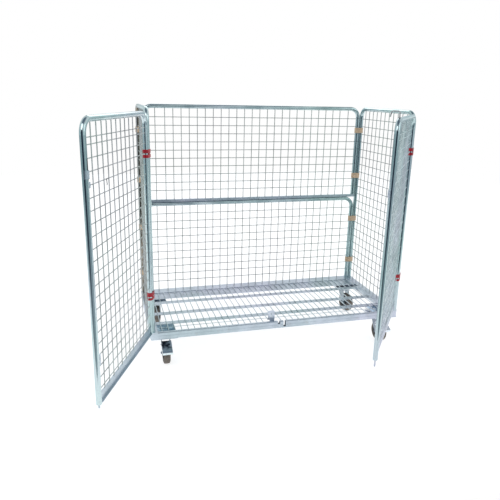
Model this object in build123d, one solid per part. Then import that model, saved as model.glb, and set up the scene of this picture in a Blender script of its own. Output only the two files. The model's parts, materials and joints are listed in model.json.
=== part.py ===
from build123d import *
import os
from math import cos, sin, radians

# Roll cage container on four swivel castors, with mesh sides, a two-part mesh back and two mesh doors.
# Millimetres, +Z up, the doors' side facing -Y. Everything is first drawn about the middle of the base, on
# the floor, and the finished set is shifted so that the origin is under the middle of the whole open object.

# ---------------------------------------------------------------- driving dimensions
BASE_LENGTH = 1502.0            # along X
BASE_WIDTH = 670.0              # along Y
RAIL_BOTTOM = 169.5
RAIL_TOP = 211.5
PANEL_TOP = 1387.5              # centre of the top tubes of sides and back
TUBE = 25.0                     # outer diameter of every frame tube
TUBE_WALL = 1.5
BEND = 55.0                     # bend radius of the tubes' centre line
WIRE = 4.0                      # mesh wire
PITCH = 50.0                    # mesh pitch
SIDE_X = 735.5                  # centre plane of a side panel
POST_Y = 315.0                  # centres of the side panels' upright tubes
REAR_POST_X = 708.0             # centres of the back panels' upright tubes
TOUCH = 0.05                    # gap left where two welded or seated pieces meet

# base
RAIL_DEPTH = 20.0
RAIL_WALL = 2.5
RAIL_ROUND = 5.0                # corner radius of the closed rails
FRONT_GROOVE = (190.0, 192.0)   # pressed line along the front rail
GROOVE_DEEP = 1.2
SOCKET = 42.0                   # side of a front corner socket
SOCKET_REAR = 63.0              # a rear corner socket holds two tubes
SOCKET_ROUND = 24.0
SEAT_Z = 174.5                  # depth to which the tubes stand in the sockets
SEAT_GAP = 0.1
SIDE_RAIL_DEPTH = 44.0
SIDE_GROOVE = (199.0, 203.0)    # pressed line along the inner face of the side rails
SHEET = 3.0
LIP = 30.0                      # bottom lip of the rear rail
REAR_FLANGE = 73.0
PAD_SIZE = (145.0, 140.0)       # castor pad under each corner
PAD_THICK = 4.0
PAD_INSET = 5.0                 # from the base's outer faces
BOLT_HOLE = 4.5                 # radius of the holes for the castors' bolts
STRIP_WIDTH = 38.0
STRIP_Y = (99.0, -70.0, -206.0)
SHELF_Y = (164.0, 261.0)        # flat plate along the back of the deck
SHELF_LINE_Y = (237.0, 241.0)   # pressed line along it
DECK_WIRE = 5.0
DECK_PITCH = 36.0
DECK_SIDE_WIRES = 19            # on each side of the middle wire
LONG_WIRE_Y = -269.0
INNER_X = BASE_LENGTH / 2 - SIDE_RAIL_DEPTH     # inner face of a side rail
GUSSET_LONG = 96.0
GUSSET_DEEP = 16.0              # fold along the plate's inner edge
GUSSET_Y = (-314.0, -182.0)
GUSSET_RIBS_Y = (-306.0, -294.0, -250.0, -238.0)
RIB_WIDE, RIB_TALL = 4.0, 2.5
GUSSET_SLOT_X, GUSSET_SLOT_Y = (14.0, 50.0), (-275.0, -269.0)   # x from the plate's outer edge

# back and sides
SIDE_WIRES_Y = [248.0 - PITCH * k for k in range(11)]
SIDE_WIRES_Z = [1324.0 - PITCH * k for k in range(22)]
REAR_WIRES_X = [-634.0] + [-575.0 + PITCH * k for k in range(24)] + [634.0]
UPPER_WIRES_Z = [1324.0 - PITCH * k for k in range(10)]
LOWER_WIRES_Z = [724.0 - PITCH * k for k in range(10)]
LOWER_TOP = 787.0               # centre of the lower back panel's top tube
BAR_Z = (800.0, 816.0)          # straight bar under the upper back panel
BAR_DEPTH = 20.0
CLIP_TALL = 34.0
CLIP_WALL = 3.0
CLIP_Z = (1249.0, 947.0, 646.0, 346.0)

# doors
DOOR_WIDTH = 691.0              # between the centres of a door's two upright tubes
DOOR_BOTTOM = 217.5
DOOR_TOP = 1369.0
DOOR_RAIL_TALL = 45.0
DOOR_RAIL_SHEET = 2.5
DOOR_LEDGES = (11.0, 6.0)       # how far the ledges at its foot and top reach inwards
DOOR_LINE = (20.0, 24.0)        # pressed line, above the rail's foot
BUSH_TALL = 18.0
BUSH_GAP = 0.08
DOOR_WIRES_T = [81.0 + PITCH * k for k in range(11)] + [633.0]
DOOR_WIRES_Z = [1303.0] + [1276.3 - PITCH * k for k in range(21)]
LINK = 27.5                     # between a side panel's tube and the door tube in its hinge clip
HINGE_TALL = 40.0
HINGE_Z = (1176.0, 430.0)
HINGE_SLOT_Z = (1175.15, 425.15)    # where the mesh wires pass through the hinge clips
HINGE_SLOT = 7.7
HINGE_WEB = 2.5                 # the slots stop this far inside the tubes' centres
HINGE_GAP = 0.1
OPEN_ANGLE = {"left": 113.2, "right": 52.5}     # clips and doors, from closed, as they stand open
ROD = 9.0
ROD_DROP = {"left": 19.0, "right": 37.0}        # how far each rod stands out below its door
ROD_LIFT = 40.0
HANDLE_Z = {"left": 1171.0, "right": 1046.0}
HANDLE_TALL = 32.0
HANDLE_NECK = 5.0
HANDLE_SLOT = 7.0               # slot in the free tube for the handle's neck
HANDLE_SLOT_END = 3.0           # slot left beyond the neck at each end of its travel
GRIP_R, GRIP_THICK = 12.9, 3.0  # curved grip round the tube
GRIP_LOW, GRIP_BACK = 2.5, 11.5 # the grip stops this far from the mesh's plane, and this far back
RAIL_SLOT = 14.0                # slots in the front rail for the rods
ROD_TIP_GAP = 2.5               # between a rod's tip and the bottom of its slot
ROD_SLOT_X = {"left": -17.0, "right": 17.0}
KEEPER_X = -54.0
KEEPER_WIDTH = 40.0
KEEPER_BACK = -297.0
KEEPER_TALL = 54.0
KEEPER_FOOT = 28.0              # width of its foot and of the tab that it stands on
KEEPER_TAB_LOW = 180.0
KEEPER_ROUND = 8.0
KEEPER_SLOT, KEEPER_SLOT_Z = 8.0, (16.0, 42.0)     # slot's width, and its height above the foot
LATCH_X = (660.0, 679.5)        # small plates beside the free tube
LATCH_Y = (2.4, 5.4)
LATCH_Z = ((1117.0, 1140.0), (384.0, 433.0))
LATCH_HOLE = (670.0, 415.0)     # x and z of the hole in the lower one
PAPER_HOOK = ((487, 4, 1128), (505, 4, 1128), (505, 6, 1106), (523, 12, 1106))
PAPER_HOOK_WIRE = 3.0
HOOK_WIRE = 6.0
HOOK_T = 650.0
HOOK_RISE, HOOK_REACH, HOOK_END = 31.0, 35.0, 26.0

# castors
WHEEL = 125.0
TREAD = 37.0
TRAIL = 38.0
CASTOR_X, CASTOR_Y = 661.0, 243.0
CASTOR_TURN = {"front_left": 0.0, "front_right": 4.0, "rear_left": 168.0, "rear_right": 12.0}
CASTOR_SIGN = {"front_left": (-1, -1), "front_right": (1, -1), "rear_left": (-1, 1), "rear_right": (1, 1)}
BRAKED = ("front_left", "front_right")
PLATE_SIZE = (105.0, 85.0)
PLATE_THICK = 5.5
BOLT_X, BOLT_Y = 38.0, 30.0
AXLE = 10.0
AXLE_GAP = 0.06
LEG_INNER = 21.5
LEG_THICK = 3.0
CROWN_Z = (144.0, 154.5)
CROWN_R = 38.0
KINGPIN = 12.0
PEDAL_PIVOT = (-34.0, 110.0)    # y and z of the pedal's pivot
PEDAL_OUTER = ((-48.0, 138.0), (-97.0, 111.0), (-120.0, 99.0), (-120.0, 87.0))   # web's outer face, y and z
PEDAL_INNER = ((-117.0, 87.0), (-117.0, 97.2), (-95.6, 108.4), (-46.5, 135.4))
PEDAL_ARM_UNDER = (-97.0, 93.0)
PEDAL_GAP = 0.5
STUD, STUD_LONG = 6.0, 5.5      # the fork's studs that the pedal turns on

CENTRE = Align.CENTER
LOW = (CENTRE, CENTRE, Align.MIN)


# ---------------------------------------------------------------- helpers
def block(x, y, z):
    """A box given by its lowest and highest value along each axis."""
    size = [b - a for a, b in (x, y, z)]
    return Pos(x[0], y[0], z[0]) * Box(*size, align=(Align.MIN, Align.MIN, Align.MIN))


def rod(radius, z):
    """An upright cylinder between two heights."""
    return Pos(0, 0, z[0]) * Cylinder(radius, z[1] - z[0], align=LOW)


def bent_tube(half_span, z_low, z_top):
    """A tube bent to an upside-down U in the XZ plane, open at both feet."""
    path = FilletPolyline(
        (-half_span, 0, z_low), (-half_span, 0, z_top), (half_span, 0, z_top), (half_span, 0, z_low),
        radius=BEND,
    )
    foot = Plane(origin=(-half_span, 0, z_low), z_dir=(0, 0, 1))
    outside = sweep(foot * Circle(TUBE / 2), path)
    inside = sweep(foot * Circle(TUBE / 2 - TUBE_WALL), path)
    return outside - inside


def grid(uprights, levels, u_span, z_span, wire=WIRE):
    """A flat welded grid in the XZ plane: upright wires over z_span, level wires over u_span."""
    bars = [Pos(u, (z_span[0] + z_span[1]) / 2) * Rectangle(wire, z_span[1] - z_span[0]) for u in uprights]
    bars += [Pos((u_span[0] + u_span[1]) / 2, z) * Rectangle(u_span[1] - u_span[0], wire) for z in levels]
    outline = Sketch() + bars
    return Plane.XZ * extrude(outline, wire / 2, both=True)


def turn(shape, angle):
    return Rot(0, 0, angle) * shape


def four_ways(shape):
    """The same piece at the four corners, mirrored about both middle planes."""
    pair = [shape, mirror(shape, about=Plane.YZ)]
    return Compound(children=pair + [mirror(s, about=Plane.XZ) for s in pair])


# ---------------------------------------------------------------- base
def corner_socket(width, posts):
    """Corner block of the base, drawn at -X -Y, with upright bores for the panel tubes."""
    x0, y0 = -BASE_LENGTH / 2, -BASE_WIDTH / 2
    body = block((x0, x0 + width), (y0, y0 + SOCKET), (RAIL_BOTTOM, RAIL_TOP))
    outer = body.edges().filter_by(Axis.Z).sort_by(lambda e: e.center().X + e.center().Y)[0]
    body = fillet(outer, SOCKET_ROUND)
    for x in posts:
        body -= Pos(x, -POST_Y) * rod(TUBE / 2 + SEAT_GAP, (SEAT_Z, RAIL_TOP + 1))
    return body


def base_corners():
    front = corner_socket(SOCKET, [-SIDE_X])
    rear = mirror(corner_socket(SOCKET_REAR, [-SIDE_X, -REAR_POST_X]), about=Plane.XZ)
    return Compound(children=[front, mirror(front, about=Plane.YZ), rear, mirror(rear, about=Plane.YZ)])


def rolled_section(depth):
    """Outline of a closed rail, as tall as the base."""
    tall = RAIL_TOP - RAIL_BOTTOM
    inside = RectangleRounded(depth - 2 * RAIL_WALL, tall - 2 * RAIL_WALL, RAIL_ROUND - RAIL_WALL)
    return RectangleRounded(depth, tall, RAIL_ROUND) - inside


def front_rail():
    """Closed rolled section between the front sockets, with two slots for the door rods."""
    half = BASE_LENGTH / 2 - SOCKET - TOUCH
    rail = extrude(Plane.YZ * rolled_section(RAIL_DEPTH), half, both=True)
    rail = Pos(0, -BASE_WIDTH / 2 + RAIL_DEPTH / 2, (RAIL_TOP + RAIL_BOTTOM) / 2) * rail
    rail -= block((-half, half), (-BASE_WIDTH / 2 - 1, -BASE_WIDTH / 2 + GROOVE_DEEP), FRONT_GROOVE)
    for side, x in ROD_SLOT_X.items():
        floor = DOOR_BOTTOM - ROD_DROP[side] - ROD_TIP_GAP
        rail -= block((x - RAIL_SLOT / 2, x + RAIL_SLOT / 2), (-BASE_WIDTH, 0), (floor, RAIL_TOP + 1))
    return rail


def side_rail():
    """Left rail, a closed rolled section between its two corner sockets."""
    half = BASE_WIDTH / 2 - SOCKET - TOUCH
    rail = extrude(Plane.XZ * rolled_section(SIDE_RAIL_DEPTH), half, both=True)
    rail = Pos(-BASE_LENGTH / 2 + SIDE_RAIL_DEPTH / 2, 0, (RAIL_TOP + RAIL_BOTTOM) / 2) * rail
    return rail - block((-INNER_X - GROOVE_DEEP, -INNER_X + 1), (-half, half), SIDE_GROOVE)


def rear_rail():
    """Rail with an outer wall, a wide top flange and a bottom lip; the flange reaches the side rails."""
    back = BASE_WIDTH / 2
    half = BASE_LENGTH / 2 - SOCKET_REAR - TOUCH
    reach = INNER_X - TOUCH
    top_z = (RAIL_TOP - SHEET, RAIL_TOP)
    rail = block((-half, half), (back - SHEET, back), (RAIL_BOTTOM, RAIL_TOP))
    rail += block((-half, half), (back - REAR_FLANGE, back), top_z)
    rail += block((-reach, reach), (back - REAR_FLANGE, back - SOCKET - TOUCH), top_z)
    return rail + block((-half, half), (back - LIP, back), (RAIL_BOTTOM, RAIL_BOTTOM + SHEET))


def castor_pads():
    x1, y1 = BASE_LENGTH / 2 - PAD_INSET, BASE_WIDTH / 2 - PAD_INSET
    z = (RAIL_BOTTOM - PAD_THICK, RAIL_BOTTOM)
    pad = block((-x1, -x1 + PAD_SIZE[0]), (-y1, -y1 + PAD_SIZE[1]), z)
    for bx in (-BOLT_X, BOLT_X):
        for by in (-BOLT_Y, BOLT_Y):
            pad -= Pos(-CASTOR_X + bx, -CASTOR_Y + by) * rod(BOLT_HOLE, (z[0] - 1, RAIL_TOP))
    return four_ways(pad)


def corner_gussets():
    """Ribbed and slotted plates under the deck strips at the two front corners."""
    x0, x1 = -INNER_X + TOUCH, -INNER_X + GUSSET_LONG
    top = RAIL_TOP - 2 * SHEET - TOUCH
    plate = block((x0, x1), GUSSET_Y, (top - SHEET, top))
    plate += block((x1 - SHEET, x1), GUSSET_Y, (top - GUSSET_DEEP, top))
    for y in GUSSET_RIBS_Y:
        plate += block((x0 + RIB_WIDE, x1 - 2 * RIB_WIDE), (y, y + RIB_WIDE), (top, top + RIB_TALL))
    slot_x = (x0 + GUSSET_SLOT_X[0], x0 + GUSSET_SLOT_X[1])
    plate -= block(slot_x, GUSSET_SLOT_Y, (top - SHEET - 2, top + 1))
    return Compound(children=[plate, mirror(plate, about=Plane.YZ)])


def deck_strips():
    half = INNER_X - TOUCH
    z1 = RAIL_TOP - SHEET
    strips = [
        block((-half, half), (y - STRIP_WIDTH / 2, y + STRIP_WIDTH / 2), (z1 - SHEET, z1)) for y in STRIP_Y
    ]
    return Compound(children=strips)


def rear_shelf():
    half = INNER_X - TOUCH
    z1 = RAIL_TOP - SHEET
    shelf = block((-half, half), SHELF_Y, (z1 - SHEET, z1))
    return shelf - block((-half - 1, half + 1), SHELF_LINE_Y, (z1 - 1, z1 + 1))


def deck_grid():
    """Wires from front to back on the strips, tied by one long wire near the front."""
    count = DECK_SIDE_WIRES
    cross = [DECK_PITCH * k for k in range(-count, count + 1)]
    front, back = -POST_Y + TOUCH, SHELF_Y[1] - TOUCH
    span = INNER_X - TOUCH
    flat = grid(cross, [LONG_WIRE_Y], (-span, span), (front, back), DECK_WIRE)
    reach = KEEPER_WIDTH / 2 + 2
    beside_keeper = (KEEPER_X - reach, KEEPER_X + reach)
    flat -= block(beside_keeper, (-DECK_WIRE, DECK_WIRE), (front - 1, KEEPER_BACK + 1))
    return Pos(0, 0, RAIL_TOP - SHEET + DECK_WIRE / 2) * (Rot(-90, 0, 0) * flat)


def front_keeper():
    """Folded stop behind the closed doors, with an upright slot."""
    z = RAIL_TOP - SHEET + DECK_WIRE + 2 * TOUCH
    foot_x, stand_x, slot_x = (
        (KEEPER_X - width / 2, KEEPER_X + width / 2) for width in (KEEPER_FOOT, KEEPER_WIDTH, KEEPER_SLOT)
    )
    tab = block(foot_x, (-POST_Y + TOUCH, -POST_Y + SHEET), (KEEPER_TAB_LOW, z + SHEET))
    foot = block(foot_x, (-POST_Y + TOUCH, KEEPER_BACK), (z, z + SHEET))
    stand = block(stand_x, (KEEPER_BACK - SHEET, KEEPER_BACK), (z, z + KEEPER_TALL))
    stand = fillet(stand.edges().filter_by(Axis.Y).group_by(Axis.Z)[-1], KEEPER_ROUND)
    slot_z = (z + KEEPER_SLOT_Z[0], z + KEEPER_SLOT_Z[1])
    stand -= block(slot_x, (KEEPER_BACK - KEEPER_SLOT, KEEPER_BACK + 2), slot_z)
    return tab + foot + stand


# ---------------------------------------------------------------- sides and back
def side_frame():
    return Pos(-SIDE_X, 0, 0) * turn(bent_tube(POST_Y, SEAT_Z, PANEL_TOP), 90)


def side_mesh():
    reach = POST_Y - TUBE / 2 - TOUCH
    flat = grid(SIDE_WIRES_Y, SIDE_WIRES_Z, (-reach, reach), (RAIL_TOP + TOUCH, PANEL_TOP - TUBE / 2 - TOUCH))
    return Pos(-SIDE_X, 0, 0) * turn(flat, 90)


def rear_upper_frame():
    return Pos(0, POST_Y, 0) * bent_tube(REAR_POST_X, BAR_Z[1], PANEL_TOP)


def rear_lower_frame():
    return Pos(0, POST_Y, 0) * bent_tube(REAR_POST_X, SEAT_Z, LOWER_TOP)


def rear_mesh(levels, z_span):
    reach = REAR_POST_X - TUBE / 2 - TOUCH
    span = (z_span[0] + TOUCH, z_span[1] - TOUCH)
    return Pos(0, POST_Y, 0) * grid(REAR_WIRES_X, levels, (-reach, reach), span)


def rear_bar():
    half = REAR_POST_X + TUBE / 2
    return block((-half, half), (POST_Y - BAR_DEPTH / 2, POST_Y + BAR_DEPTH / 2), BAR_Z)


def panel_clips():
    """Plastic clips that hold a side panel's rear tube and the back panels' tube together."""
    middle = (SIDE_X + REAR_POST_X) / 2
    outline = SlotCenterToCenter(SIDE_X - REAR_POST_X, TUBE + 2 * CLIP_WALL)
    for x in (-1, 1):
        outline -= Pos(x * (SIDE_X - REAR_POST_X) / 2, 0) * Circle(TUBE / 2 + TOUCH)
    clips = []
    for z in CLIP_Z:
        clip = extrude(outline, CLIP_TALL / 2, both=True)
        clips += [Pos(-middle, POST_Y, z) * clip, Pos(middle, POST_Y, z) * clip]
    return Compound(children=clips)


# ---------------------------------------------------------------- doors, drawn closed and left-handed
# A door's own frame: x runs from its hinge tube to its free edge, +y towards the inside of the cage.
def door_frame(handle_z):
    middle = DOOR_WIDTH / 2
    frame = Pos(middle, 0, 0) * bent_tube(middle, DOOR_BOTTOM, DOOR_TOP)
    reach = HANDLE_TALL / 2 + HANDLE_SLOT_END
    slot_z = (handle_z - reach, handle_z + reach + ROD_LIFT)
    frame -= block((DOOR_WIDTH - HANDLE_SLOT / 2, DOOR_WIDTH + HANDLE_SLOT / 2), (0, TUBE), slot_z)
    frame -= Pos(HOOK_T, 0) * rod(HOOK_WIRE / 2 + HINGE_GAP, (DOOR_TOP - 5, DOOR_TOP + TUBE))
    return frame


def door_mesh():
    span = (TUBE / 2 + TOUCH, DOOR_WIDTH - TUBE / 2 - TOUCH)
    z_span = (DOOR_BOTTOM + DOOR_RAIL_TALL + TOUCH, DOOR_TOP - TUBE / 2 - TOUCH)
    return grid(DOOR_WIRES_T, DOOR_WIRES_Z, span, z_span)


def door_rail():
    """Folded strip along the door's foot, with a ledge top and bottom and a pressed line."""
    x = (TUBE / 2 + TOUCH, DOOR_WIDTH - TUBE / 2 - TOUCH)
    z0, z1 = DOOR_BOTTOM, DOOR_BOTTOM + DOOR_RAIL_TALL
    outer = -DOOR_RAIL_SHEET / 2
    rail = block(x, (outer, -outer), (z0, z1))
    rail += block(x, (outer, DOOR_LEDGES[0]), (z0, z0 + DOOR_RAIL_SHEET))
    rail += block(x, (outer, DOOR_LEDGES[1]), (z1 - DOOR_RAIL_SHEET, z1))
    return rail + block(x, (outer - 1.5, outer), (z0 + DOOR_LINE[0], z0 + DOOR_LINE[1]))


def rod_bush():
    """Plug in the free tube's foot that guides the rod."""
    z = (DOOR_BOTTOM, DOOR_BOTTOM + BUSH_TALL)
    return Pos(DOOR_WIDTH, 0) * (rod(TUBE / 2 - TUBE_WALL - TOUCH, z) - rod(ROD / 2 + BUSH_GAP, z))


def lock_rod(drop, handle_z):
    """Drop rod inside the free tube, with a curved grip outside it that comes out through the tube's slot."""
    body = Pos(DOOR_WIDTH, 0) * rod(ROD / 2, (DOOR_BOTTOM - drop, handle_z + HANDLE_TALL / 2))
    z = (handle_z - HANDLE_TALL / 2, handle_z + HANDLE_TALL / 2)
    body += block((DOOR_WIDTH - HANDLE_NECK / 2, DOOR_WIDTH + HANDLE_NECK / 2), (0, GRIP_R), z)
    grip = rod(GRIP_R + GRIP_THICK, z) - rod(GRIP_R, z)
    grip -= block((-TUBE, TUBE), (-TUBE, GRIP_LOW), z) + block((-TUBE, -GRIP_BACK), (-TUBE, TUBE), z)
    return body + Pos(DOOR_WIDTH, 0) * grip


def latch_plates():
    """Two small plates on the inside of the free tube: a guide below the handle and one near the foot."""
    upper, lower = (block(LATCH_X, LATCH_Y, z) for z in LATCH_Z)
    tube = Pos(DOOR_WIDTH, 0) * rod(TUBE / 2 + TOUCH, (0, 2 * DOOR_TOP))
    hole = Pos(LATCH_HOLE[0], 0, LATCH_HOLE[1]) * (Rot(90, 0, 0) * Cylinder(5, 40))
    return Compound(children=[upper - tube, lower - tube - hole])


def mesh_hook():
    """Small wire hook hung on the mesh, for holding papers."""
    path = FilletPolyline(*PAPER_HOOK, radius=5)
    return sweep(Plane(origin=path @ 0, z_dir=path % 0) * Circle(PAPER_HOOK_WIRE / 2), path)


def top_hook():
    """Bent wire that turns in the door's top tube and drops over the other door."""
    r = HOOK_WIRE / 2
    z0, z1 = DOOR_TOP - 4, DOOR_TOP + TUBE / 2 + HOOK_RISE - r
    path = FilletPolyline(
        (HOOK_T, 0, z0), (HOOK_T, 0, z1), (HOOK_T, HOOK_REACH, z1), (HOOK_T, HOOK_REACH + 6, z1 - HOOK_END),
        radius=8,
    )
    wire = sweep(Plane(origin=path @ 0, z_dir=path % 0) * Circle(r), path)
    collar = Pos(HOOK_T, 0) * (rod(r + 3, (DOOR_TOP + TUBE / 2 + 0.3, DOOR_TOP + TUBE / 2 + 3.3)))
    return wire + collar


def hinge_clips():
    """Upper and lower hinge clip about the side tube on x = 0, with the door tube at x = LINK."""
    clips = []
    for z, slot_z in zip(HINGE_Z, HINGE_SLOT_Z):
        outline = SlotCenterToCenter(LINK, TUBE + 2 * CLIP_WALL)
        for x in (-LINK / 2, LINK / 2):
            outline -= Pos(x, 0) * Circle(TUBE / 2 + HINGE_GAP)
        clip = Pos(LINK / 2, 0, z) * extrude(outline, HINGE_TALL / 2, both=True)
        cut = (slot_z - HINGE_SLOT / 2, slot_z + HINGE_SLOT / 2)
        clip -= block((-LINK, HINGE_WEB), (-LINK, LINK), cut)
        clip -= block((LINK - HINGE_WEB, 3 * LINK), (-LINK, LINK), cut)
        clips.append(clip - hinge_screw(z, TOUCH))
    return Compound(children=clips)


def hinge_screw(z, gap=0.0):
    shank = Cylinder(2 + gap, 5 + gap, align=(CENTRE, CENTRE, Align.MAX))
    head = Cylinder(4 + gap, 1.5 + gap, align=LOW)
    face = TUBE / 2 + CLIP_WALL
    return Pos(LINK / 2, face, z) * (Rot(-90, 0, 0) * (shank + head))


def hinge_screws():
    return Compound(children=[hinge_screw(z) for z in HINGE_Z])


# ---------------------------------------------------------------- castors, drawn with the pivot on the Z axis
# The wheel stands towards -Y from the pivot.
def castor_plate():
    z1 = RAIL_BOTTOM - PAD_THICK
    plate = Pos(0, 0, z1 - PLATE_THICK) * extrude(RectangleRounded(*PLATE_SIZE, 8), PLATE_THICK)
    plate += rod(33, (CROWN_Z[1] + 0.3, z1 - PLATE_THICK))
    for bx in (-BOLT_X, BOLT_X):
        for by in (-BOLT_Y, BOLT_Y):
            plate -= Pos(bx, by) * rod(BOLT_HOLE, (RAIL_BOTTOM - 30, RAIL_TOP))
    return plate - rod(KINGPIN / 2 + TOUCH, (0, RAIL_TOP))


def castor_kingpin():
    pin = rod(KINGPIN / 2, (CROWN_Z[0] - 5, RAIL_BOTTOM - PAD_THICK - 0.5))
    return pin + rod(11, (CROWN_Z[0] - 5, CROWN_Z[0] - 0.3))


def castor_fork(braked):
    """Crown and two legs; a braked fork also has the two studs that its pedal turns on."""
    crown = rod(CROWN_R, CROWN_Z)
    crown = chamfer(crown.edges().filter_by(GeomType.CIRCLE).group_by(Axis.Z)[0], 4)
    eye = Pos(-TRAIL, WHEEL / 2)
    leg = make_face(Polyline(
        (-TRAIL - 15, WHEEL / 2), (-31, 148), (30, 148), (-TRAIL + 15, WHEEL / 2), close=True,
    )) + eye * Circle(15) - eye * Circle(AXLE / 2 + TOUCH)
    for x in (LEG_INNER, -LEG_INNER - LEG_THICK):
        crown += Pos(x, 0, 0) * extrude(Plane.YZ * leg, LEG_THICK)
    if braked:
        y0, z0 = PEDAL_PIVOT
        half = LEG_INNER + LEG_THICK
        for x in (half, -half - STUD_LONG):
            crown += Pos(x, y0, z0) * (Rot(0, 90, 0) * Cylinder(STUD / 2, STUD_LONG, align=LOW))
    return crown - rod(KINGPIN / 2 + HINGE_GAP, (0, RAIL_TOP))


def castor_axle():
    """Axle bolt with a hexagon head and a nut."""
    half = LEG_INNER + LEG_THICK + TOUCH
    head = extrude(RegularPolygon(8.5, 6), 6)
    shape = Cylinder(AXLE / 2, 2 * half + 4) + Pos(0, 0, half) * head + Pos(0, 0, -half - 6) * head
    return Pos(0, -TRAIL, WHEEL / 2) * (Rot(0, 90, 0) * shape)


def castor_tyre():
    """Tyre with a slightly crowned tread and rounded shoulders."""
    outer, inner, half = WHEEL / 2, 47.0, TREAD / 2
    profile = make_face(Polyline(
        (inner, -half + 2), (outer - 9, -half), (outer - 2.5, -half + 4), (outer, -half + 10),
        (outer, half - 10), (outer - 2.5, half - 4), (outer - 9, half), (inner, half - 2), close=True,
    ))
    ring = revolve(Plane.XZ * profile, Axis.Z)
    return Pos(0, -TRAIL, WHEEL / 2) * (Rot(0, 90, 0) * ring)


def castor_core():
    """Wheel centre: rim, web and a hub that turns on the axle."""
    rim, half = 47.0 - TOUCH, TREAD / 2
    bore, hub = AXLE / 2 + AXLE_GAP, 14.0
    profile = make_face(Polyline(
        (bore, -half - 1), (hub, -half - 1), (hub, -6), (38, -6), (40, -half + 3), (rim, -half + 3),
        (rim, half - 3), (40, half - 3), (38, 6), (hub, 6), (hub, half + 1), (bore, half + 1), close=True,
    ))
    return Pos(0, -TRAIL, WHEEL / 2) * (Rot(0, 90, 0) * revolve(Plane.XZ * profile, Axis.Z))


def brake_pedal():
    """Folded pedal over the front of the tyre: two arms outside the fork legs, joined by a sloping web."""
    y0, z0 = PEDAL_PIVOT
    arm = make_face(Polyline((y0 + 7, z0 - 6), (y0 + 7, z0 + 6), *PEDAL_OUTER, PEDAL_ARM_UNDER, close=True))
    web = make_face(Polyline(*PEDAL_OUTER, *PEDAL_INNER, close=True))
    inner = LEG_INNER + LEG_THICK + PEDAL_GAP
    pedal = extrude(Plane.YZ * web, inner, both=True)
    for x in (inner, -inner - LEG_THICK):
        pedal += Pos(x, 0, 0) * extrude(Plane.YZ * arm, LEG_THICK)
    return pedal - Pos(0, y0, z0) * (Rot(0, 90, 0) * Cylinder(STUD / 2 + TOUCH, 3 * CROWN_R))


def castor_bolts():
    bolts = []
    z1 = RAIL_BOTTOM - PAD_THICK - PLATE_THICK - TOUCH
    for bx in (-BOLT_X, BOLT_X):
        for by in (-BOLT_Y, BOLT_Y):
            bolt = rod(4, (z1 - 1, RAIL_BOTTOM + 8)) + Pos(0, 0, z1 - 5) * extrude(RegularPolygon(7, 6), 5)
            bolts.append(Pos(bx, by) * bolt)
    return bolts


def castor_nuts():
    nut = extrude(RegularPolygon(7, 6), 6) - Cylinder(4 + TOUCH, 20)
    return [
        Pos(bx, by, RAIL_BOTTOM + TOUCH) * nut for bx in (-BOLT_X, BOLT_X) for by in (-BOLT_Y, BOLT_Y)
    ]


# ---------------------------------------------------------------- placing
def link_end(side):
    """Centre of a door's hinge tube."""
    angle = radians(OPEN_ANGLE[side])
    sign = 1 if side == "left" else -1
    return (sign * (-SIDE_X + LINK * cos(angle)), -POST_Y - LINK * sin(angle))


def place(shape, side, centre, angle):
    """Stand a closed, left-handed piece at its hinge, turned open by an angle."""
    if side == "left":
        return Pos(*centre) * turn(shape, -angle)
    return Pos(*centre) * turn(mirror(shape, about=Plane.YZ), angle)


def castor_place(shape, corner):
    sx, sy = CASTOR_SIGN[corner]
    return Pos(sx * CASTOR_X, sy * CASTOR_Y, 0) * turn(shape, CASTOR_TURN[corner])


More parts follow.
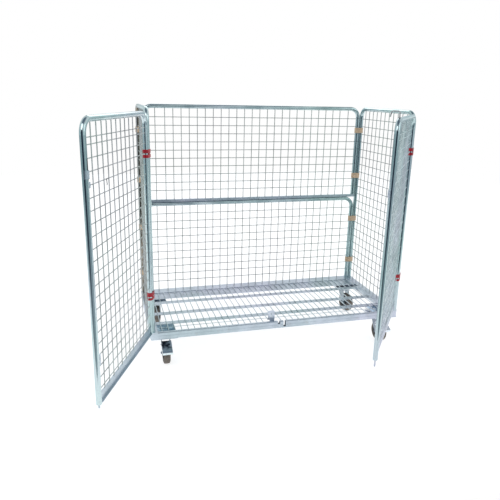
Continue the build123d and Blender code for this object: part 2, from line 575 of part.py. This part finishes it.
def build():
    nodes = {
        "base_corner_sockets": base_corners(),
        "base_front_rail": front_rail(),
        "base_rear_rail": rear_rail(),
        "base_left_rail": side_rail(),
        "base_right_rail": mirror(side_rail(), about=Plane.YZ),
        "castor_pads": castor_pads(),
        "corner_gussets": corner_gussets(),
        "deck_strips": deck_strips(),
        "deck_rear_shelf": rear_shelf(),
        "deck_grid": deck_grid(),
        "front_keeper": front_keeper(),
        "left_side_frame": side_frame(),
        "left_side_mesh": side_mesh(),
        "right_side_frame": mirror(side_frame(), about=Plane.YZ),
        "right_side_mesh": mirror(side_mesh(), about=Plane.YZ),
        "rear_upper_frame": rear_upper_frame(),
        "rear_upper_mesh": rear_mesh(UPPER_WIRES_Z, (BAR_Z[1], PANEL_TOP - TUBE / 2)),
        "rear_upper_bar": rear_bar(),
        "rear_lower_frame": rear_lower_frame(),
        "rear_lower_mesh": rear_mesh(LOWER_WIRES_Z, (RAIL_TOP, LOWER_TOP - TUBE / 2)),
        "panel_clips": panel_clips(),
    }
    for side, angle in OPEN_ANGLE.items():
        post = (-SIDE_X if side == "left" else SIDE_X, -POST_Y)
        nodes[side + "_hinge_clips"] = place(hinge_clips(), side, post, angle)
        nodes[side + "_hinge_screws"] = place(hinge_screws(), side, post, angle)
        pieces = {
            "door_frame": door_frame(HANDLE_Z[side]),
            "door_mesh": door_mesh(),
            "door_bottom_rail": door_rail(),
            "rod_bush": rod_bush(),
            "lock_rod": lock_rod(ROD_DROP[side], HANDLE_Z[side]),
            "latch_plates": latch_plates(),
        }
        if side == "left":
            pieces["door_paper_hook"] = mesh_hook()
        else:
            pieces["door_top_hook"] = top_hook()
        for name, shape in pieces.items():
            nodes[side + "_" + name] = place(shape, side, link_end(side), angle)

    fixed = {"castor_plates": [], "castor_kingpins": [], "castor_bolts_and_nuts": []}
    for corner, (sx, sy) in CASTOR_SIGN.items():
        spot = Pos(sx * CASTOR_X, sy * CASTOR_Y, 0)
        fixed["castor_plates"].append(spot * castor_plate())
        fixed["castor_kingpins"].append(spot * castor_kingpin())
        fixed["castor_bolts_and_nuts"] += [spot * piece for piece in castor_bolts() + castor_nuts()]
        turning = {
            "fork": castor_fork(corner in BRAKED),
            "axle": castor_axle(),
            "tyre": castor_tyre(),
            "wheel_core": castor_core(),
        }
        if corner in BRAKED:
            turning["brake_pedal"] = brake_pedal()
        for name, shape in turning.items():
            nodes[corner + "_" + name] = castor_place(shape, corner)
    for name, shapes in fixed.items():
        nodes[name] = Compound(children=shapes)
    return nodes


NODES = build()
low = [min(getattr(s.bounding_box().min, axis) for s in NODES.values()) for axis in "XYZ"]
high = [max(getattr(s.bounding_box().max, axis) for s in NODES.values()) for axis in "XYZ"]
SHIFT = (-(low[0] + high[0]) / 2, -(low[1] + high[1]) / 2, -low[2])
os.makedirs("parts", exist_ok=True)
for name, shape in NODES.items():
    export_step(Pos(*SHIFT) * shape, f"parts/{name}.step")
print(len(NODES), "nodes, shift", [round(v, 4) for v in SHIFT])
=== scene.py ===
"""Looks of the roll cage container. Metres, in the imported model's own frame."""
import json
import math

import bmesh
import bpy
from mathutils import Matrix, Vector

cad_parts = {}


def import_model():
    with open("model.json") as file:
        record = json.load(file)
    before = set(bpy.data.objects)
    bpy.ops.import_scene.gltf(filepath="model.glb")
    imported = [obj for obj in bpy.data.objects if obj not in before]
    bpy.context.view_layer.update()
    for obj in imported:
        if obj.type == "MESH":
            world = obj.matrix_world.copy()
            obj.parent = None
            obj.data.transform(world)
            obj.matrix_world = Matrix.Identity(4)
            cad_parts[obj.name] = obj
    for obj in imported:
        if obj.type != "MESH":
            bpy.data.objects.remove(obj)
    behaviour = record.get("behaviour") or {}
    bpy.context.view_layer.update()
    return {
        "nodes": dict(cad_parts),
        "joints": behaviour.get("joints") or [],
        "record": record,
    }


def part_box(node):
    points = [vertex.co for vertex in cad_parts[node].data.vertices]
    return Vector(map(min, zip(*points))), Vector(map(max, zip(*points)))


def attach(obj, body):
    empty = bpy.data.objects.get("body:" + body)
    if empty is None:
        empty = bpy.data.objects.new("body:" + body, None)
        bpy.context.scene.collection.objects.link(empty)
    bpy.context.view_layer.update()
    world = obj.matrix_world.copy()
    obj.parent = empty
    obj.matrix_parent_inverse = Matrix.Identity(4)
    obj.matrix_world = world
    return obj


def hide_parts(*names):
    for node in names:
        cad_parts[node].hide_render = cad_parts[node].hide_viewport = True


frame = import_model()
NODES = frame["nodes"]
JOINTS = {j["name"]: j for j in frame["joints"]}
BODIES = frame["record"]["behaviour"]["bodies"]
BODY_OF = {name: body for body, members in BODIES.items() for name in members}

# ---------------------------------------------------------------- sizes, in metres
PITCH = 0.050                   # mesh pitch
WIRE_R = 0.0024                 # upright mesh wires' radius
LEVEL_WIRE_R = 0.0022           # level mesh wires' radius
WELD_SINK = 0.0005              # how far crossing wires are welded into each other
SEGMENTS = 10                   # sides of a round wire
DOME_LENGTH = 0.35              # of a wire's end, in radii
DOME_TIP = 0.6                  # radius at the tip of a wire's end, in radii
TUBE_R = 0.0125

SIDE_LEVELS = [1.324 - PITCH * k for k in range(22)]        # heights of the level wires
REAR_UPPER_LEVELS = SIDE_LEVELS[:10]
REAR_LOWER_LEVELS = [0.724 - PITCH * k for k in range(10)]
SIDE_UPRIGHTS = [0.248 - PITCH * k for k in range(11)]      # from the panel's middle
REAR_UPRIGHTS = [-0.634] + [-0.575 + PITCH * k for k in range(24)] + [0.634]
DOOR_LEVELS = [1.303] + [1.2763 - PITCH * k for k in range(21)]
DOOR_UPRIGHTS = [0.081 + PITCH * k for k in range(11)] + [0.633]    # from the hinge tube's middle
DOOR_WIDTH = 0.691              # between the middles of a door's two tubes

DECK_WIRE_R = 0.0025
DECK_PITCH = 0.036
DECK_SIDE_WIRES = 19            # wires on each side of the middle one
KEEPER_GAP = 0.001              # between the front keeper and the wires that end behind it
TIE_WIRE_Y = -0.269             # long wire under the others, from the base's middle
TIE_WIRE_DROP = 0.0009
TIE_WIRE_R = DECK_WIRE_R * 0.6

TYRE_STEPS = 72                 # round the wheel
TYRE_HALF = [                   # half of the section, bead to middle: place on the axle, radius
    (-0.0165, 0.047), (-0.0182, 0.0505), (-0.0183, 0.0545), (-0.0168, 0.0585), (-0.0140, 0.0610),
    (-0.0095, 0.0621), (-0.0068, 0.0623), (-0.0060, 0.0613), (-0.0052, 0.0624), (0.0, 0.0625),
]
CAD_SHARP, WIRE_SHARP, TYRE_SHARP = 32, 40, 60      # degrees above which an edge stays sharp

BASE_LOW, BASE_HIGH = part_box("base_corner_sockets")
BASE_MID = (BASE_LOW + BASE_HIGH) / 2
TUBE_DARK_FROM, TUBE_DARK_TO = BASE_MID.y - 0.1, BASE_MID.y + 0.25    # the left tube turns darker and brownish in between
PEDAL_PAINTED_LIGHT_FROM, PEDAL_PAINTED_LIGHT_TO = 0.106, 0.116     # heights: painted highlight below, painted dark reflection above

FLOOR_SIDE = 6.0                # from x = 0
FLOOR_FRONT, FLOOR_BACK = 1.6, 7.0      # from the base's middle
FLOOR_GLOW = 0.72               # the floor shines a little, as a white studio floor does
CAMERA_FROM_BASE = Vector((-0.9582, -2.9955, 1.4671))     # from the floor under the base's middle
CAMERA_YAW, CAMERA_PITCH, CAMERA_ROLL = -15.437, 15.785, 1.262
CAMERA_LENS = 38.15
CAMERA_SHIFT = (0.0074, -0.0122)
LIGHTS_AIM = 0.8                # height that the lights point at
LIGHTS = {                      # place from that point, size, power, colour
    "key": ((-2.6, -3.2, 3.4), (2.6, 2.6), 45, (1, 1, 1)),
    "fill": ((3.4, -2.4, 2.2), (2.4, 2.4), 16, (0.95, 0.98, 1.0)),
    "back": ((0.4, 3.8, 3.0), (3.5, 1.6), 22, (1, 1, 1)),
}
WORLD_HEIGHTS = [               # 0 straight down, 0.5 the horizon, 1 straight up
    (0.0, (0.30, 0.34, 0.36)), (0.46, (0.42, 0.50, 0.54)), (0.50, (0.80, 0.88, 0.90)),
    (0.56, (0.48, 0.60, 0.64)), (0.64, (0.86, 0.88, 0.89)), (0.86, (0.86, 0.88, 0.89)),
    (0.97, (0.16, 0.20, 0.26)),
]


# ---------------------------------------------------------------- materials
def new_material(name, color, metallic, roughness):
    mat = bpy.data.materials.new(name)
    mat.use_nodes = True
    tree = mat.node_tree
    shader = tree.nodes["Principled BSDF"]
    shader.inputs["Base Color"].default_value = (*color, 1)
    shader.inputs["Metallic"].default_value = metallic
    shader.inputs["Roughness"].default_value = roughness
    return mat, tree, shader


def node(tree, kind, **values):
    made = tree.nodes.new(kind)
    for key, value in values.items():
        if hasattr(made, key):
            setattr(made, key, value)
        else:
            made.inputs[key].default_value = value
    return made


def noise(tree, scale, detail=3.0, stretch=(1, 1, 1)):
    """Noise in the object's own coordinates."""
    coords = node(tree, "ShaderNodeTexCoord")
    mapping = node(tree, "ShaderNodeMapping", Scale=stretch)
    texture = node(tree, "ShaderNodeTexNoise", Scale=scale, Detail=detail)
    tree.links.new(coords.outputs["Object"], mapping.inputs["Vector"])
    tree.links.new(mapping.outputs["Vector"], texture.inputs["Vector"])
    return texture.outputs["Fac"]


def ramp(tree, fac, stops):
    """Colours at places from 0 to 1 along fac."""
    made = node(tree, "ShaderNodeValToRGB")
    elements = made.color_ramp.elements
    while len(elements) < len(stops):
        elements.new(0.5)
    for element, (place, color) in zip(elements, stops):
        element.position = place
        element.color = (*color, 1)
    tree.links.new(fac, made.inputs["Fac"])
    return made.outputs["Color"]


def bump(tree, shader, height, strength, distance):
    made = node(tree, "ShaderNodeBump", Strength=strength, Distance=distance)
    tree.links.new(height, made.inputs["Height"])
    tree.links.new(made.outputs["Normal"], shader.inputs["Normal"])


def mix(tree, fac, a, b, blend="MIX"):
    """Colour a turning into b by fac; each is a value or a socket."""
    made = node(tree, "ShaderNodeMix", data_type="RGBA", blend_type=blend)
    if isinstance(fac, float):
        made.inputs["Factor"].default_value = fac
    else:
        tree.links.new(fac, made.inputs["Factor"])
    for socket, value in ((made.inputs[6], a), (made.inputs[7], b)):    # the colour sockets A, B
        if isinstance(value, tuple):
            socket.default_value = (*value, 1)
        else:
            tree.links.new(value, socket)
    return made.outputs[2]


def zinc(name, low, high, spangle, roughness, brushed=(1, 1, 1), dirt=0.25, metallic=1.0):
    """Zinc plate: clouds from low to high, a blue and green tint, fine grain, dull grimy spots."""
    mat, tree, shader = new_material(name, high, metallic, roughness[0])
    clouds = ramp(tree, noise(tree, 9, 4, brushed), [(0.32, low), (0.68, high)])
    tint = ramp(tree, noise(tree, 2.3, 2), [(0.35, (0.80, 0.95, 0.93)), (0.65, (0.90, 0.93, 1.0))])
    color = mix(tree, 1.0, clouds, tint, "MULTIPLY")
    grain = ramp(tree, noise(tree, spangle, 6), [(0.44, (0.86, 0.86, 0.86)), (0.62, (1, 1, 1))])
    color = mix(tree, 0.6, color, grain, "MULTIPLY")
    spots = ramp(tree, noise(tree, 38, 6), [(0.60, (0, 0, 0)), (0.74, (1, 1, 1))])
    scaled = mix(tree, dirt, (0, 0, 0), spots)
    color = mix(tree, scaled, color, (0.42, 0.40, 0.37))
    tree.links.new(color, shader.inputs["Base Color"])
    rough = ramp(tree, noise(tree, 24, 5), [(0.3, (roughness[0],) * 3), (0.7, (roughness[1],) * 3)])
    tree.links.new(rough, shader.inputs["Roughness"])
    bump(tree, shader, noise(tree, spangle * 2, 4), 0.12, 0.0006)
    return mat


def along(tree, vector, axis, start, end):
    """0 to 1 as one coordinate of a vector goes from start to end."""
    split = node(tree, "ShaderNodeSeparateXYZ")
    tree.links.new(vector, split.inputs["Vector"])
    share = node(tree, "ShaderNodeMapRange", **{"From Min": start, "From Max": end})
    tree.links.new(split.outputs[axis], share.inputs["Value"])
    return share.outputs["Result"]


# Used for a tube that turns darker and brownish towards the back, and for the pedal's painted
# highlight and painted dark reflection.
def darken_and_paint_light_along(mat, axis, start, end, texture, stops):
    """Turn a material's colour into a second one along an axis of the object, in place."""
    tree = mat.node_tree
    shader = tree.nodes["Principled BSDF"]
    clean = shader.inputs["Base Color"].links[0].from_socket
    share = along(tree, node(tree, "ShaderNodeTexCoord").outputs["Object"], axis, start, end)
    color = ramp(tree, noise(tree, *texture), stops)
    tree.links.new(mix(tree, share, clean, color), shader.inputs["Base Color"])
    return mat


def tube_plate(name):
    """Drawn tube, with its clouds stretched along the uprights."""
    return zinc(name, (0.44, 0.52, 0.53), (0.72, 0.78, 0.78), 160, (0.07, 0.18), (1, 1, 0.15), 0.2)


def tube_darker_to_back():
    """Tube plate that turns darker and brownish towards the back of the cage."""
    return darken_and_paint_light_along(tube_plate("zinc_tube_darker_to_back"), "Y", TUBE_DARK_FROM, TUBE_DARK_TO, (30, 4, (1, 1, 0.2)),
                [(0.35, (0.17, 0.15, 0.12)), (0.65, (0.34, 0.31, 0.26))])


def pedal_steel():
    """Near-white plate as a painted highlight below, turning into a painted dark reflection above.
    """
    # The near-white plate colour is a painted highlight.
    plate = zinc("pedal_steel", (0.86, 0.87, 0.88), (0.97, 0.97, 0.98), 240, (0.12, 0.26),
                 dirt=0.15)
    # Above the given heights the colour turns into a painted dark reflection.
    return darken_and_paint_light_along(plate, "Z", PEDAL_PAINTED_LIGHT_FROM, PEDAL_PAINTED_LIGHT_TO, (55, 3),
                [(0.40, (0.05, 0.06, 0.08)), (0.60, (0.50, 0.55, 0.60))])


def plastic(name, color, dark, roughness):
    """Moulded plastic: slight mottling, fine grain and scuffed spots."""
    mat, tree, shader = new_material(name, color, 0.0, roughness)
    body = ramp(tree, noise(tree, 45, 4), [(0.35, dark), (0.65, color)])
    scuffs = ramp(tree, noise(tree, 190, 6), [(0.62, (0, 0, 0)), (0.8, (0.5, 0.5, 0.5))])
    pale = tuple(min(1.0, 0.35 + 0.65 * c) for c in color)
    tree.links.new(mix(tree, scuffs, body, pale), shader.inputs["Base Color"])
    smooth, worn_rough = (roughness - 0.08,) * 3, (roughness + 0.12,) * 3
    rough = ramp(tree, noise(tree, 80, 3), [(0.3, smooth), (0.7, worn_rough)])
    tree.links.new(rough, shader.inputs["Roughness"])
    bump(tree, shader, noise(tree, 900, 2), 0.15, 0.0003)
    return mat


def rubber():
    """Tread rubber: grey-brown where it has rolled, dusty, with fine grain."""
    mat, tree, shader = new_material("tyre_rubber", (0.10, 0.09, 0.08), 0.0, 0.8)
    dust = ramp(tree, noise(tree, 60, 5),
                [(0.35, (0.115, 0.098, 0.082)), (0.7, (0.20, 0.175, 0.15))])
    tree.links.new(dust, shader.inputs["Base Color"])
    rough = ramp(tree, noise(tree, 110, 3), [(0.3, (0.62,) * 3), (0.7, (0.88,) * 3)])
    tree.links.new(rough, shader.inputs["Roughness"])
    bump(tree, shader, noise(tree, 520, 4), 0.35, 0.0006)
    return mat


TUBE = tube_plate("zinc_tube")
WIRE = zinc("zinc_wire", (0.44, 0.425, 0.40), (0.64, 0.62, 0.59), 260, (0.40, 0.6),
            dirt=0.3, metallic=0.3)
HOOK = zinc("zinc_hook", (0.07, 0.07, 0.07), (0.14, 0.13, 0.13), 260, (0.30, 0.5),
            dirt=0.1, metallic=0.2)
# Lighter copy of the wire finish: painted light on the left door's wires.
WIRE_PAINTED_LIGHTER = zinc("zinc_wire_painted_lighter", (0.50, 0.48, 0.455), (0.72, 0.70, 0.67), 260, (0.40, 0.6),
                 dirt=0.2, metallic=0.15)
SHEET = zinc("zinc_sheet", (0.54, 0.56, 0.61), (0.71, 0.72, 0.78), 210, (0.26, 0.44), dirt=0.3)
# Zinc plate whose dark and pale blue clouds are a painted mottled reflection, for the corner
# gussets.
BLUE_PAINTED_REFLECTION = zinc("zinc_blue_painted_reflection", (0.16, 0.28, 0.40), (0.60, 0.70, 0.78), 90, (0.22, 0.4), dirt=0.3)
CASTOR = zinc("castor_steel", (0.15, 0.17, 0.20), (0.58, 0.61, 0.64), 240, (0.16, 0.34), dirt=0.5)
PEDAL_WITH_PAINTED_LIGHT = pedal_steel()
SCREW = zinc("screw_steel", (0.62, 0.55, 0.42), (0.85, 0.80, 0.70), 300, (0.25, 0.4))
# Brightest copy of the wire finish: painted light on the deck and the right door's wires.
WIRE_PAINTED_BRIGHTEST = zinc("zinc_wire_painted_brightest", (0.58, 0.60, 0.62), (0.82, 0.85, 0.87), 260, (0.3, 0.5),
                 dirt=0.3, metallic=0.6)
RED = plastic("red_clip", (0.46, 0.004, 0.020), (0.33, 0.002, 0.012), 0.36)
TAN = plastic("tan_clip", (0.62, 0.46, 0.31), (0.50, 0.36, 0.24), 0.45)
DARK = plastic("dark_plastic", (0.06, 0.06, 0.065), (0.035, 0.035, 0.04), 0.5)
CORE = plastic("wheel_plastic", (0.075, 0.075, 0.08), (0.045, 0.045, 0.05), 0.42)
RUBBER = rubber()
FINISHES = {
    "zinc_tube": TUBE, "zinc_wire": WIRE, "zinc_sheet": SHEET, "castor_steel": CASTOR,
    "pedal_steel": PEDAL_WITH_PAINTED_LIGHT, "screw_steel": SCREW, "red_clip": RED, "tan_clip": TAN,
    "dark_plastic": DARK, "wheel_plastic": CORE, "tyre_rubber": RUBBER,
}
# The corner gussets take the painted blue reflection; the left side frame turns darker and brownish
# towards its back.
OWN_LOOK = {"corner_gussets": BLUE_PAINTED_REFLECTION, "left_door_paper_hook": HOOK, "left_side_frame": tube_darker_to_back()}
SLOT_OF = {part["node"]: part["material_slot"] for part in frame["record"]["subparts"]}


def dress_node(name):
    """Material and smooth shading for a CAD node that stays in view."""
    mesh = NODES[name].data
    mesh.materials.clear()
    mesh.materials.append(OWN_LOOK.get(name) or FINISHES[SLOT_OF[name]])
    for polygon in mesh.polygons:
        polygon.use_smooth = True
        polygon.material_index = 0
    mesh.set_sharp_from_angle(angle=math.radians(CAD_SHARP))


# ---------------------------------------------------------------- mesh helpers
def finish_piece(name, bm, finish, cad_node, sharp=WIRE_SHARP, look=None):
    """Turn mesh code into the piece that replaces a CAD node, in a finish or in its own look."""
    bmesh.ops.recalc_face_normals(bm, faces=bm.faces)
    mesh = bpy.data.meshes.new(name)
    bm.to_mesh(mesh)
    bm.free()
    for polygon in mesh.polygons:
        polygon.use_smooth = True
    mesh.set_sharp_from_angle(angle=math.radians(sharp))
    mesh.materials.append(look or FINISHES[finish])
    piece = bpy.data.objects.new(name, mesh)
    bpy.context.scene.collection.objects.link(piece)
    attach(piece, BODY_OF[cad_node])
    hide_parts(cad_node)


def round_wire(bm, start, end, radius, place=Matrix.Identity(4)):
    """A straight wire with slightly domed ends."""
    start, end = Vector(start), Vector(end)
    run = (end - start).normalized()
    across = run.orthogonal().normalized()
    other = run.cross(across)
    rings = []
    dome = run * (radius * DOME_LENGTH)
    for centre, scale in ((start, DOME_TIP), (start + dome, 1), (end - dome, 1), (end, DOME_TIP)):
        ring = []
        for k in range(SEGMENTS):
            angle = 2 * math.pi * k / SEGMENTS
            offset = (across * math.cos(angle) + other * math.sin(angle)) * radius * scale
            ring.append(bm.verts.new(place @ (centre + offset)))
        rings.append(ring)
    for a, b in zip(rings, rings[1:]):
        for k in range(SEGMENTS):
            j = (k + 1) % SEGMENTS
            bm.faces.new((a[k], a[j], b[j], b[k]))
    bm.faces.new(list(reversed(rings[0])))
    bm.faces.new(rings[-1])


def wire_mesh(cad_node, place, uprights, levels, u_span, z_span, upright_side, look=None):
    """Welded mesh in a panel's own frame (x along it, y through it): level wires in its plane, and
    upright wires on one face, sunk into them a little."""
    bm = bmesh.new()
    y = upright_side * (WIRE_R + LEVEL_WIRE_R - WELD_SINK)
    for u in uprights:
        round_wire(bm, (u, y, z_span[0]), (u, y, z_span[1]), WIRE_R, place)
    for z in levels:
        round_wire(bm, (u_span[0], 0, z), (u_span[1], 0, z), LEVEL_WIRE_R, place)
    finish_piece(cad_node.replace("_mesh", "_wires"), bm, "zinc_wire", cad_node, look=look)


# ---------------------------------------------------------------- sides and back
def side_mesh(side):
    """A side's mesh, its uprights on the inner face."""
    cad = f"{side}_side_mesh"
    low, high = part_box(cad)
    turn = Matrix.Rotation(math.pi / 2, 4, "Z")
    place = Matrix.Translation(((low.x + high.x) / 2, BASE_MID.y, 0)) @ turn
    reach = (high.y - low.y) / 2
    wire_mesh(cad, place, SIDE_UPRIGHTS, SIDE_LEVELS, (-reach, reach), (low.z, high.z),
              -1 if side == "left" else 1)


def rear_mesh(part, levels):
    """A back panel's mesh, its uprights on the inner face."""
    cad = f"rear_{part}_mesh"
    low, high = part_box(cad)
    place = Matrix.Translation((BASE_MID.x, (low.y + high.y) / 2, 0))
    reach = (high.x - low.x) / 2
    wire_mesh(cad, place, REAR_UPRIGHTS, levels, (-reach, reach), (low.z, high.z), -1)


# ---------------------------------------------------------------- doors
def door_place(side):
    """From a door's own frame (x from the hinge tube, y to the inside) to the row frame at rest."""
    x, y, _ = JOINTS[f"{side}_door_swing"]["pos_m"]
    angle = math.radians(-JOINTS[f"{side}_clip_swing"]["range_deg"][0])
    post = Matrix.Translation((x, y, 0))
    if side == "left":
        return post @ Matrix.Rotation(-angle, 4, "Z")
    return post @ Matrix.Rotation(angle, 4, "Z") @ Matrix.Diagonal((-1, 1, 1, 1))


def door_mesh(side):
    """A door's mesh, its uprights on the face that is inside when the door is shut."""
    cad = f"{side}_door_mesh"
    low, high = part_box(cad)
    # The doors' wires take lighter copies of the wire finish, as painted light.
    wire_mesh(cad, door_place(side), DOOR_UPRIGHTS, DOOR_LEVELS, (TUBE_R, DOOR_WIDTH - TUBE_R),
              (low.z, high.z), 1, WIRE_PAINTED_LIGHTER if side == "left" else WIRE_PAINTED_BRIGHTEST)


# ---------------------------------------------------------------- deck
def deck():
    """Round wires from front to back, and one long wire under them near the front."""
    low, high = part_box("deck_grid")
    z = (low.z + high.z) / 2
    keeper_low, keeper_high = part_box("front_keeper")
    bm = bmesh.new()
    for k in range(-DECK_SIDE_WIRES, DECK_SIDE_WIRES + 1):
        x = BASE_MID.x + k * DECK_PITCH
        behind = keeper_low.x - KEEPER_GAP < x < keeper_high.x + KEEPER_GAP
        front = keeper_high.y + KEEPER_GAP if behind else low.y
        round_wire(bm, (x, front, z), (x, high.y, z), DECK_WIRE_R)
    y = BASE_MID.y + TIE_WIRE_Y
    round_wire(bm, (low.x, y, z - TIE_WIRE_DROP), (high.x, y, z - TIE_WIRE_DROP), TIE_WIRE_R)
    # The deck's wires take the brightest copy of the wire finish, as painted light.
    finish_piece("deck_wires", bm, "zinc_wire", "deck_grid", look=WIRE_PAINTED_BRIGHTEST)


# ---------------------------------------------------------------- castors
def wheel_place(corner):
    """From a wheel's own frame (x along the axle, z up) to the row frame at rest."""
    joint = JOINTS[f"{corner}_roll"]
    ax, ay, _ = joint["axis"]
    return Matrix.Translation(joint["pos_m"]) @ Matrix.Rotation(math.atan2(ay, ax), 4, "Z")


def tyre(corner):
    """Solid tyre with rounded shoulders and two shallow grooves."""
    outline = TYRE_HALF + [(-x, r) for x, r in reversed(TYRE_HALF[:-1])]
    bm = bmesh.new()
    place = wheel_place(corner)
    rings = []
    for k in range(TYRE_STEPS):
        angle = 2 * math.pi * k / TYRE_STEPS
        spots = [Vector((x, r * math.sin(angle), -r * math.cos(angle))) for x, r in outline]
        rings.append([bm.verts.new(place @ spot) for spot in spots])
    for a, b in zip(rings, rings[1:] + rings[:1]):
        for i in range(len(outline)):
            j = (i + 1) % len(outline)
            bm.faces.new((a[i], a[j], b[j], b[i]))
    finish_piece(f"{corner}_tread", bm, "tyre_rubber", f"{corner}_tyre", TYRE_SHARP)


# ---------------------------------------------------------------- light, floor, camera
def area_light(name, place, target, size, power, color):
    data = bpy.data.lights.new(name, "AREA")
    data.shape = "RECTANGLE"
    data.size, data.size_y = size
    data.energy = power
    data.color = color
    lamp = bpy.data.objects.new(name, data)
    lamp.location = place
    lamp.rotation_euler = (Vector(target) - Vector(place)).to_track_quat("-Z", "Y").to_euler()
    bpy.context.scene.collection.objects.link(lamp)


def weight(tree, vector, direction, start, end):
    """1 where a direction lies near the given one, falling to 0; start and end are cosines."""
    dot = node(tree, "ShaderNodeVectorMath", operation="DOT_PRODUCT")
    tree.links.new(vector, dot.inputs[0])
    dot.inputs[1].default_value = Vector(direction).normalized()
    spread = node(tree, "ShaderNodeMapRange", interpolation_type="SMOOTHSTEP",
                  **{"From Min": start, "From Max": end})
    tree.links.new(dot.outputs["Value"], spread.inputs["Value"])
    return spread.outputs["Result"]


def world():
    """Pale studio walls, white where the camera looks; the room behind the photographer and its
    ceiling are dark, so metal gets dark bands."""
    made = bpy.data.worlds.new("studio")
    bpy.context.scene.world = made
    made.use_nodes = True
    tree = made.node_tree
    tree.nodes.clear()
    way = node(tree, "ShaderNodeTexCoord").outputs["Generated"]
    color = ramp(tree, along(tree, way, "Z", -1.0, 1.0), WORLD_HEIGHTS)
    dark_room = weight(tree, way, (-0.35, -1, 0.1), 0.80, 0.93)
    color = mix(tree, dark_room, color, (0.010, 0.022, 0.050))
    window = weight(tree, way, (0.75, -0.55, 0.15), 0.93, 0.99)
    color = mix(tree, window, color, (0.9, 0.95, 0.97))
    seen = node(tree, "ShaderNodeLightPath")
    color = mix(tree, seen.outputs["Is Camera Ray"], color, (1.0, 1.0, 1.0))
    back = node(tree, "ShaderNodeBackground", Strength=1.0)
    out = node(tree, "ShaderNodeOutputWorld")
    tree.links.new(color, back.inputs["Color"])
    tree.links.new(back.outputs["Background"], out.inputs["Surface"])


def floor():
    """Pale floor that ends not far in front of the object."""
    mesh = bpy.data.meshes.new("floor")
    front, back = BASE_MID.y - FLOOR_FRONT, BASE_MID.y + FLOOR_BACK
    side = FLOOR_SIDE
    corners = [(-side, front, 0), (side, front, 0), (side, back, 0), (-side, back, 0)]
    mesh.from_pydata(corners, [], [(0, 1, 2, 3)])
    mat, tree, shader = new_material("floor_paint", (0.55, 0.55, 0.55), 0.0, 0.9)
    tone = ramp(tree, noise(tree, 3, 2), [(0.3, (0.545,) * 3), (0.7, (0.555,) * 3)])
    tree.links.new(tone, shader.inputs["Base Color"])
    shader.inputs["Emission Color"].default_value = (1, 1, 1, 1)
    shader.inputs["Emission Strength"].default_value = FLOOR_GLOW
    mesh.materials.append(mat)
    plane = bpy.data.objects.new("floor", mesh)
    bpy.context.scene.collection.objects.link(plane)


def camera():
    """Camera fitted to the mesh lines and tubes, from the middle of the base."""
    data = bpy.data.cameras.new("camera")
    data.sensor_width = 36
    data.lens = CAMERA_LENS
    data.shift_x, data.shift_y = CAMERA_SHIFT
    data.clip_end = 100
    obj = bpy.data.objects.new("camera", data)
    yaw, pitch, roll = (math.radians(v) for v in (CAMERA_YAW, CAMERA_PITCH, CAMERA_ROLL))
    level = math.cos(pitch)
    forward = Vector((-math.sin(yaw) * level, math.cos(yaw) * level, -math.sin(pitch)))
    right = Vector((math.cos(yaw), math.sin(yaw), 0))
    up = right.cross(forward)
    cos, sin = math.cos(roll), math.sin(roll)
    right, up = right * cos + up * sin, up * cos - right * sin
    turn = Matrix((right, up, -forward)).transposed().to_4x4()
    spot = Vector((BASE_MID.x, BASE_MID.y, 0)) + CAMERA_FROM_BASE
    obj.matrix_world = Matrix.Translation(spot) @ turn
    bpy.context.scene.collection.objects.link(obj)
    bpy.context.scene.camera = obj


# ---------------------------------------------------------------- making
for cad_name in NODES:
    dress_node(cad_name)
for door_side in ("left", "right"):
    side_mesh(door_side)
    door_mesh(door_side)
rear_mesh("upper", REAR_UPPER_LEVELS)
rear_mesh("lower", REAR_LOWER_LEVELS)
deck()
for castor_corner in ("front_left", "front_right", "rear_left", "rear_right"):
    tyre(castor_corner)
bpy.context.scene.view_settings.view_transform = "Standard"
world()
floor()
camera()
aim = Vector((BASE_MID.x, BASE_MID.y, LIGHTS_AIM))
for light_name, (light_place, light_size, power, light_color) in LIGHTS.items():
    area_light(light_name, aim + Vector(light_place), aim, light_size, power, light_color)
